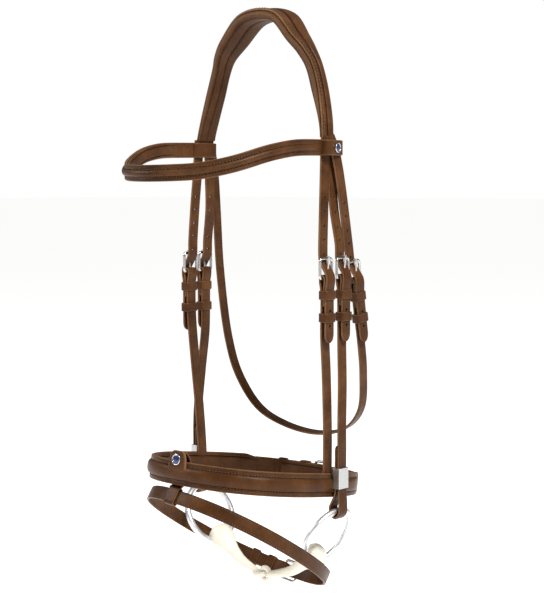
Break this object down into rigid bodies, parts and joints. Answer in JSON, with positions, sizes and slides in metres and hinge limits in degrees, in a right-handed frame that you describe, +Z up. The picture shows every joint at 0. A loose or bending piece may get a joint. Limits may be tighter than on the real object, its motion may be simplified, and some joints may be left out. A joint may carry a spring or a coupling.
{
  "type": "snaffle bridle",
  "caption": "Brown leather snaffle bridle with padded headpiece and browband, flash noseband, throatlatch and jointed loose-ring bit.",
  "frame": {"origin": "the poll seat: middle of the inner surface of the headpiece at its top, where the bridle hangs", "axes": "+Z up; the horse faces -Y; +X is the horse's left, the near side"},
  "size_m": [0.2022, 0.2593, 0.5857],
  "materials": {
    "bridle_leather": "satin oiled brown bridle leather",
    "padding_leather": "soft matt brown lining leather over foam",
    "enamel": "gloss deep blue enamel in a nickel rim",
    "buckle_nickel": "polished nickel",
    "clip_steel": "satin",
    "bit_steel": "polished",
    "mouthpiece": "pale cream moulded rubber"
  },
  "bodies": {
    "headpiece": {"headpiece_leather": "bridle_leather", "headpiece_pad": "padding_leather", "throat_billet": "bridle_leather"},
    "browband": {"browband_leather": "bridle_leather", "browband_pad": "padding_leather", "near_browband_button": "enamel", "far_browband_button": "enamel"},
    "noseband": {"near_hanger_strap": "bridle_leather", "far_hanger_strap": "bridle_leather", "near_hanger_billet_end": "bridle_leather", "far_hanger_billet_end": "bridle_leather", "near_hanger_buckle_frame": "buckle_nickel", "far_hanger_buckle_frame": "buckle_nickel", "near_hanger_fixed_keeper": "bridle_leather", "far_hanger_fixed_keeper": "bridle_leather", "noseband_leather": "bridle_leather", "noseband_pad": "padding_leather", "jaw_pad": "padding_leather", "noseband_buckle_frame": "buckle_nickel", "noseband_fixed_keeper": "bridle_leather", "flash_tab": "bridle_leather", "flash_button": "enamel"},
    "flash": {"flash_strap": "bridle_leather", "flash_buckle_frame": "buckle_nickel", "flash_fixed_keeper": "bridle_leather"},
    "near_cheek": {"near_cheekpiece": "bridle_leather", "near_cheek_billet_end": "bridle_leather", "near_cheek_buckle_frame": "buckle_nickel", "near_cheek_fixed_keeper": "bridle_leather", "near_hook_stud": "buckle_nickel"},
    "near_clip": {"near_box_clip": "clip_steel"},
    "near_ring": {"near_bit_ring": "bit_steel"},
    "near_mouthpiece": {"near_mouthpiece": "mouthpiece"},
    "near_hanger_tongue": {"near_hanger_buckle_tongue": "buckle_nickel"},
    "near_cheek_tongue": {"near_cheek_buckle_tongue": "buckle_nickel"},
    "near_hanger_runner": {"near_hanger_runner_keeper": "bridle_leather"},
    "near_cheek_runner": {"near_cheek_runner_keeper": "bridle_leather"},
    "far_cheek": {"far_cheekpiece": "bridle_leather", "far_cheek_billet_end": "bridle_leather", "far_cheek_buckle_frame": "buckle_nickel", "far_cheek_fixed_keeper": "bridle_leather", "far_hook_stud": "buckle_nickel"},
    "far_clip": {"far_box_clip": "clip_steel"},
    "far_ring": {"far_bit_ring": "bit_steel"},
    "far_mouthpiece": {"far_mouthpiece": "mouthpiece"},
    "far_hanger_tongue": {"far_hanger_buckle_tongue": "buckle_nickel"},
    "far_cheek_tongue": {"far_cheek_buckle_tongue": "buckle_nickel"},
    "far_hanger_runner": {"far_hanger_runner_keeper": "bridle_leather"},
    "far_cheek_runner": {"far_cheek_runner_keeper": "bridle_leather"},
    "throatlatch": {"throatlatch": "bridle_leather", "throat_billet_end": "bridle_leather", "throat_buckle_frame": "buckle_nickel", "throat_fixed_keeper": "bridle_leather"},
    "throat_tongue": {"throat_buckle_tongue": "buckle_nickel"},
    "throat_runner": {"throat_runner_keeper": "bridle_leather"},
    "noseband_tongue": {"noseband_buckle_tongue": "buckle_nickel"},
    "flash_tongue": {"flash_buckle_tongue": "buckle_nickel"},
    "noseband_runner": {"noseband_runner_keeper": "bridle_leather"},
    "flash_runner": {"flash_runner_keeper": "bridle_leather"}
  },
  "joints": [
    {"name": "browband_slide", "type": "slide", "parent": "headpiece", "child": "browband", "axis": [0, 0, 1], "range_m": [-0.002, 0.004]},
    {"name": "noseband_swing", "type": "hinge", "parent": "headpiece", "child": "noseband", "pos_m": [0, -0.0165, -0.25], "axis": [1, 0, 0], "range_deg": [-3, 3]},
    {"name": "near_cheek_swing", "type": "hinge", "parent": "headpiece", "child": "near_cheek", "pos_m": [0.0925, 0.0065, -0.25], "axis": [1, 0, 0], "range_deg": [-2.5, 3]},
    {"name": "far_cheek_swing", "type": "hinge", "parent": "headpiece", "child": "far_cheek", "pos_m": [-0.0925, 0.0065, -0.25], "axis": [1, 0, 0], "range_deg": [-2.5, 3]},
    {"name": "throatlatch_swing", "type": "hinge", "parent": "headpiece", "child": "throatlatch", "pos_m": [0.0895, 0.0295, -0.254], "axis": [0.8601, 0.0585, -0.5068], "range_deg": [-3, 3]},
    {"name": "flash_swing", "type": "hinge", "parent": "noseband", "child": "flash", "pos_m": [0, -0.123, -0.457], "axis": [1, 0, 0], "range_deg": [-2.5, 2.5]},
    {"name": "near_ring_spin", "type": "hinge", "parent": "near_cheek", "child": "near_ring", "pos_m": [0.07963, 0, -0.50341], "axis": [0.8988, 0, -0.4384], "continuous": true},
    {"name": "near_clip_slide", "type": "slide", "parent": "near_cheek", "child": "near_clip", "axis": [0, 0, 1], "range_m": [0, 0.015]},
    {"name": "far_ring_spin", "type": "hinge", "parent": "far_cheek", "child": "far_ring", "pos_m": [-0.07963, 0, -0.50341], "axis": [-0.8988, 0, -0.4384], "continuous": true},
    {"name": "far_clip_slide", "type": "slide", "parent": "far_cheek", "child": "far_clip", "axis": [0, 0, 1], "range_m": [0, 0.015]},
    {"name": "mouthpiece_swing", "type": "hinge", "parent": "near_cheek", "child": "near_mouthpiece", "pos_m": [0.06626, 0, -0.53083], "axis": [1, 0, 0], "range_deg": [-3, 3]},
    {"name": "mouthpiece_fold", "type": "hinge", "parent": "near_mouthpiece", "child": "far_mouthpiece", "pos_m": [0, -0.005, -0.553], "axis": [0, 1, 0], "range_deg": [-1, 1]},
    {"name": "near_hanger_tongue_turn", "type": "hinge", "parent": "noseband", "child": "near_hanger_tongue", "pos_m": [0.091, -0.0165, -0.25], "axis": [0, 1, 0], "range_deg": [0, 10]},
    {"name": "near_cheek_tongue_turn", "type": "hinge", "parent": "near_cheek", "child": "near_cheek_tongue", "pos_m": [0.0925, 0.0065, -0.25], "axis": [0, 1, 0], "range_deg": [0, 10]},
    {"name": "near_hanger_runner_slide", "type": "slide", "parent": "noseband", "child": "near_hanger_runner", "axis": [0, 0, 1], "range_m": [-0.01, 0.006]},
    {"name": "near_cheek_runner_slide", "type": "slide", "parent": "near_cheek", "child": "near_cheek_runner", "axis": [0, 0, 1], "range_m": [-0.01, 0.006]},
    {"name": "far_hanger_tongue_turn", "type": "hinge", "parent": "noseband", "child": "far_hanger_tongue", "pos_m": [-0.091, -0.0165, -0.25], "axis": [0, -1, 0], "range_deg": [0, 10]},
    {"name": "far_cheek_tongue_turn", "type": "hinge", "parent": "far_cheek", "child": "far_cheek_tongue", "pos_m": [-0.0925, 0.0065, -0.25], "axis": [0, -1, 0], "range_deg": [0, 10]},
    {"name": "far_hanger_runner_slide", "type": "slide", "parent": "noseband", "child": "far_hanger_runner", "axis": [0, 0, 1], "range_m": [-0.01, 0.006]},
    {"name": "far_cheek_runner_slide", "type": "slide", "parent": "far_cheek", "child": "far_cheek_runner", "axis": [0, 0, 1], "range_m": [-0.01, 0.006]},
    {"name": "throat_tongue_turn", "type": "hinge", "parent": "throatlatch", "child": "throat_tongue", "pos_m": [0.0895, 0.0295, -0.254], "axis": [0, 0.9863, 0.165], "range_deg": [0, 10]},
    {"name": "throat_runner_slide", "type": "slide", "parent": "throatlatch", "child": "throat_runner", "axis": [0, -0.165, 0.9863], "range_m": [-0.003, 0.006]},
    {"name": "noseband_tongue_turn", "type": "hinge", "parent": "noseband", "child": "noseband_tongue", "pos_m": [-0.00905, 0.0861, -0.46385], "axis": [0, 0.1425, 0.9898], "range_deg": [0, 8]},
    {"name": "noseband_runner_slide", "type": "slide", "parent": "noseband", "child": "noseband_runner", "axis": [0.887, 0.4571, -0.0658], "range_m": [-0.002, 0.002]},
    {"name": "flash_tongue_turn", "type": "hinge", "parent": "flash", "child": "flash_tongue", "pos_m": [-0.02183, 0.05019, -0.56241], "axis": [0.0763, 0.5254, 0.8474], "range_deg": [0, 8]},
    {"name": "flash_runner_slide", "type": "slide", "parent": "flash", "child": "flash_runner", "axis": [0.8267, 0.4418, -0.3483], "range_m": [-0.002, 0.002]}
  ],
  "couplings": [
    {"joint": "far_cheek_swing", "follows": "near_cheek_swing", "ratio": 1}
  ]
}
